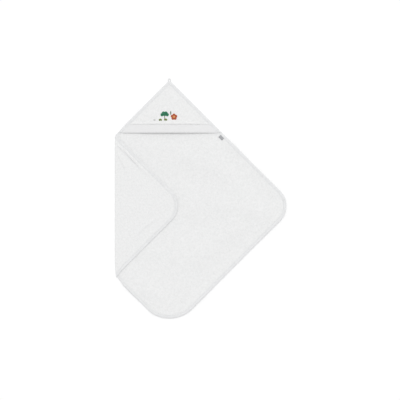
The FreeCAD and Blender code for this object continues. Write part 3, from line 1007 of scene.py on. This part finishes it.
def leaf():
    cx, cy, width, height = middle_of("embroidered_leaf")
    half_length, half_width = height / 2, width / 2
    radius = (half_length ** 2 + half_width ** 2) / (2 * half_width)
    left, right = in_disc(cx + radius - half_width, cy, radius), in_disc(cx - radius + half_width, cy, radius)
    fills = []
    for side, lean in ((-1, 145), (1, 35)):
        def half(x, y, side=side):
            return left(x, y) & right(x, y) & ((x - cx) * side > 0)
        fills.append((half, (cx, cy), half_length, lean))
    return embroidered("embroidery_leaf", "sage_thread", fills, stitch=20 * MM)


def box_fill(node, degrees):
    cx, cy, width, height = middle_of(node)

    def inside(x, y):
        return (np.abs(x - cx) < width / 2) & (np.abs(y - cy) < height / 2)
    return [(inside, (cx, cy), max(width, height) / 2 + MM, degrees)]


crown_piece = tree_crown()
trunk_piece = embroidered("embroidery_trunk", "brown_thread", box_fill("embroidered_tree_trunk", 8))
tufts_piece = grass_tufts()
petals_piece, centre_piece = flower()
leaf_piece = leaf()
ground_piece = embroidered("embroidery_ground", "grey_thread", box_fill("embroidered_ground_stitch", 0),
                           stitch=4.5 * MM)


# ---- label ----
def side_label():
    """Blank woven label, folded over at its outer end and caught under the binding."""
    cx, cy, across, _ = middle_of("side_label")
    length = 21 * MM
    width = across * ROOT2 - length
    tuck, gap, layer = 3.5 * MM, 0.35 * MM, 0.42 * MM
    along = np.array([1, -1]) / ROOT2  # with the cloth's edge
    inward = -np.array([1, 1]) / ROOT2  # away from it
    run = lines(-width / 2 - tuck, width / 2, 0.8 * MM)
    fold_radius = layer + gap / 2
    outer, inner, places = [], [], []
    for step in run:
        lift = 0.25 * MM * math.sin(math.pi * np.clip((step + width / 2) / width, 0, 1))
        outer.append((step, gap + 2 * layer + lift))
        inner.append((step, gap + layer + lift))
    middle = gap / 2 + layer
    for turn in np.linspace(80, -80, 7):
        bend = math.radians(turn)
        outer.append((width / 2 + fold_radius * math.cos(bend), middle + fold_radius * math.sin(bend)))
        inner.append((width / 2 + gap / 2 * math.cos(bend), middle + gap / 2 * math.sin(bend)))
    for step in run[::-1]:
        outer.append((step, 0.0))
        inner.append((step, layer))
    profile = np.array(outer + inner[::-1])
    travel = path_length(outer)
    travel = np.r_[travel, travel[::-1]]
    sides = np.linspace(-length / 2, length / 2, 22)
    curl = 0.5 * MM * (np.abs(sides) / (length / 2)) ** 4
    x = cx + inward[0] * profile[:, 0] + along[0] * sides[:, None]
    y = cy + inward[1] * profile[:, 0] + along[1] * sides[:, None]
    free = smooth((profile[:, 0] + width / 2) / width)
    height = panel_high + 0.25 * MM + profile[:, 1] + curl[:, None] * free
    vertices = lay(x, y, height).reshape(-1, 3)
    marks = np.stack([np.broadcast_to(sides[:, None], x.shape), np.broadcast_to(travel, x.shape), 0 * x], -1)
    around = x.shape[1]
    index, quads = tube_faces(*x.shape)
    faces = quads.tolist()
    half = around // 2
    for row, flip in ((index[0], 1), (index[-1], -1)):
        for step in range(half - 1):
            face = [row[step], row[step + 1], row[around - 2 - step], row[around - 1 - step]]
            faces.append([int(corner) for corner in face[::-flip]])
    return mesh_object("label_folded", vertices, faces, marks.reshape(-1, 3), label)


# ---- hanging loop ----
LOOP_STEP = 0.55 * MM
LOOP_BEND = 0.72  # radius of the loop's bend, as a share of its half width


def hanging_loop():
    """Narrow tube of binding tape, bent to a loop, with its ends sewn into the hood's tip."""
    wide = (loop_high.x - loop_low.x) / 2
    cord = (loop_high.z - loop_low.z) / 2
    bend = wide * LOOP_BEND
    tucked = 5 * MM
    straight_end = loop_high.y - bend - cord
    left = [(-bend * 0.8, loop_low.y - tucked), (-bend * 0.86, loop_low.y),
            (-bend * 0.97, (loop_low.y + straight_end) / 2)]
    arc = [(-bend * math.cos(t), straight_end + bend * math.sin(t)) for t in np.linspace(0, math.pi, 19)]
    right = [(-x, y) for x, y in left[::-1]]
    path = resampled(np.array(left + arc + right), LOOP_STEP)
    ahead = np.gradient(path, axis=0)
    ahead /= np.linalg.norm(ahead, axis=1, keepdims=True)
    normal = np.column_stack([-ahead[:, 1], ahead[:, 0]])
    travel = np.arange(len(path)) * LOOP_STEP
    sides = np.linspace(0, 2 * math.pi, 20, endpoint=False)
    rings, marks = [], []
    for turn in sides:
        seam = 1 - 0.14 * math.exp(-((math.cos(turn) - 0.35) / 0.16) ** 2) * (math.sin(turn) > 0)
        flat = 0.95 * cord * math.copysign(abs(math.cos(turn)) ** 0.8, math.cos(turn)) * seam
        rise = 0.88 * cord * math.copysign(abs(math.sin(turn)) ** 0.9, math.sin(turn)) * seam
        pinch = 1 + 0.03 * np.sin(travel * 2 * math.pi / (2.6 * MM))
        at = path + normal * (flat * pinch)[:, None]
        rings.append(np.column_stack([at, cord * 0.95 + rise * pinch]))
        marks.append(np.column_stack([travel, np.full(len(travel), turn * cord), 0 * travel]))
    vertices = np.stack(rings, 1).reshape(-1, 3)
    faces = closed_tube(len(path), len(sides))
    return mesh_object("loop_tape", vertices, faces, np.stack(marks, 1).reshape(-1, 3), binding)


def resampled(points, step):
    """The same path with evenly spaced points."""
    travel = path_length(points)
    places = np.arange(0, travel[-1], step)
    path = np.column_stack([np.interp(places, travel, points[:, axis]) for axis in (0, 1)])
    for _ in range(12):
        path[1:-1] = (path[:-2] + 2 * path[1:-1] + path[2:]) / 4
    return path


label_piece = side_label()
loop_piece = hanging_loop()

# ---- what each piece stands for: piece, body it rides on, slot, CAD nodes it replaces ----
PIECES = (
    (main_cloth, "towel_body", "terry", "main_panel"),
    (main_tape, "towel_body", "binding", "main_edge_binding"),
    (main_stitches, "towel_body", "sewing_thread", "main_binding_stitching"),
    (label_piece, "towel_body", "label", "side_label"),
    (turn_cloth, None, "terry", "fold_roll"),
    (turn_tape, None, "binding"),
    (flap_cloth, "corner_flap", "terry", "flap_panel"),
    (flap_tape, "corner_flap", "binding", "flap_edge_binding"),
    (flap_stitches, "corner_flap", "sewing_thread", "flap_binding_stitching"),
    (back_cloth, None, "terry", "hood_back_panel"),
    (hood_tape, None, "binding", "hood_edge_binding"),
    (front_cloth, "hood", "terry", "hood_front_panel"),
    (hood_stitches, "hood", "sewing_thread", "hood_binding_stitching"),
    (hood_band_piece, "hood", "band", "hood_band"),
    (lower_row, "hood", "sewing_thread", "hood_band_lower_stitching"),
    (upper_row, "hood", "sewing_thread", "hood_band_upper_stitching"),
    (hood_tacks, "hood", "sewing_thread", "hood_bartacks"),
    (loop_tack, "hood", "sewing_thread", "loop_bartack"),
    (crown_piece, "hood", "green_thread", "embroidered_tree_crown"),
    (trunk_piece, "hood", "brown_thread", "embroidered_tree_trunk"),
    (tufts_piece, "hood", "olive_thread", "embroidered_grass_tufts"),
    (petals_piece, "hood", "terracotta_thread", "embroidered_flower_petals"),
    (centre_piece, "hood", "orange_thread", "embroidered_flower_centre"),
    (leaf_piece, "hood", "sage_thread", "embroidered_leaf"),
    (ground_piece, "hood", "grey_thread", "embroidered_ground_stitch"),
    (loop_piece, None, "binding", "hanging_loop"),
)
for piece, body, slot, *nodes in PIECES:
    if body:
        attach(piece, body)
    if nodes:
        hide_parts(*nodes)

# The fold changes body between its two inner faces, so it spans the layers with no hump when laid open.
for piece in (turn_cloth, turn_tape):
    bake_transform(piece)
for piece in (back_cloth, hood_tape):
    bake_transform(piece)
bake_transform(loop_piece)


# ---- floor, light and camera ----
FLOOR_REACH = 60.0  # half its side


def floor():
    corners = [(x * FLOOR_REACH, y * FLOOR_REACH, 0) for x, y in ((-1, -1), (1, -1), (1, 1), (-1, 1))]
    mesh = bpy.data.meshes.new("floor")
    mesh.from_pydata(corners, [], [(0, 1, 2, 3)])
    made = Nodes("floor", roughness=1.0, specular=0.0)
    made.feed(made.shader, {"Base Color": (0.97, 0.97, 0.972, 1)})
    show("floor", mesh, made.material)


def sun(name, azimuth, elevation, strength, softness):
    """Even light over the whole floor. azimuth is where it comes from, in degrees from +X to +Y."""
    data = bpy.data.lights.new(name, "SUN")
    data.energy = strength
    data.angle = math.radians(softness)
    lamp = add_object(name, data)
    turn, rise = math.radians(azimuth), math.radians(elevation)
    towards = Vector((math.cos(turn) * math.cos(rise), math.sin(turn) * math.cos(rise), math.sin(rise)))
    lamp.rotation_euler = towards.to_track_quat("Z", "Y").to_euler()


def world(strength):
    scene_world = bpy.data.worlds.new("studio")
    bpy.context.scene.world = scene_world
    scene_world.use_nodes = True
    background = scene_world.node_tree.nodes["Background"]
    background.inputs["Color"].default_value = (1.0, 1.0, 1.0, 1)
    background.inputs["Strength"].default_value = strength


FRAME_WIDTH = 1.691  # of the floor, as the camera sees it
FRAME_CENTRE = (0.129, 0.0243)
LENS, SENSOR = 85.0, 36.0


def camera():
    data = bpy.data.cameras.new("camera")
    data.lens = LENS
    data.sensor_width = SENSOR
    view = add_object("camera", data)
    view.location = (*FRAME_CENTRE, FRAME_WIDTH * LENS / SENSOR)
    bpy.context.scene.camera = view


floor()
world(strength=0.72)
sun("key", azimuth=80, elevation=68, strength=1.12, softness=40)
camera()
bpy.context.scene.view_settings.view_transform = "Standard"
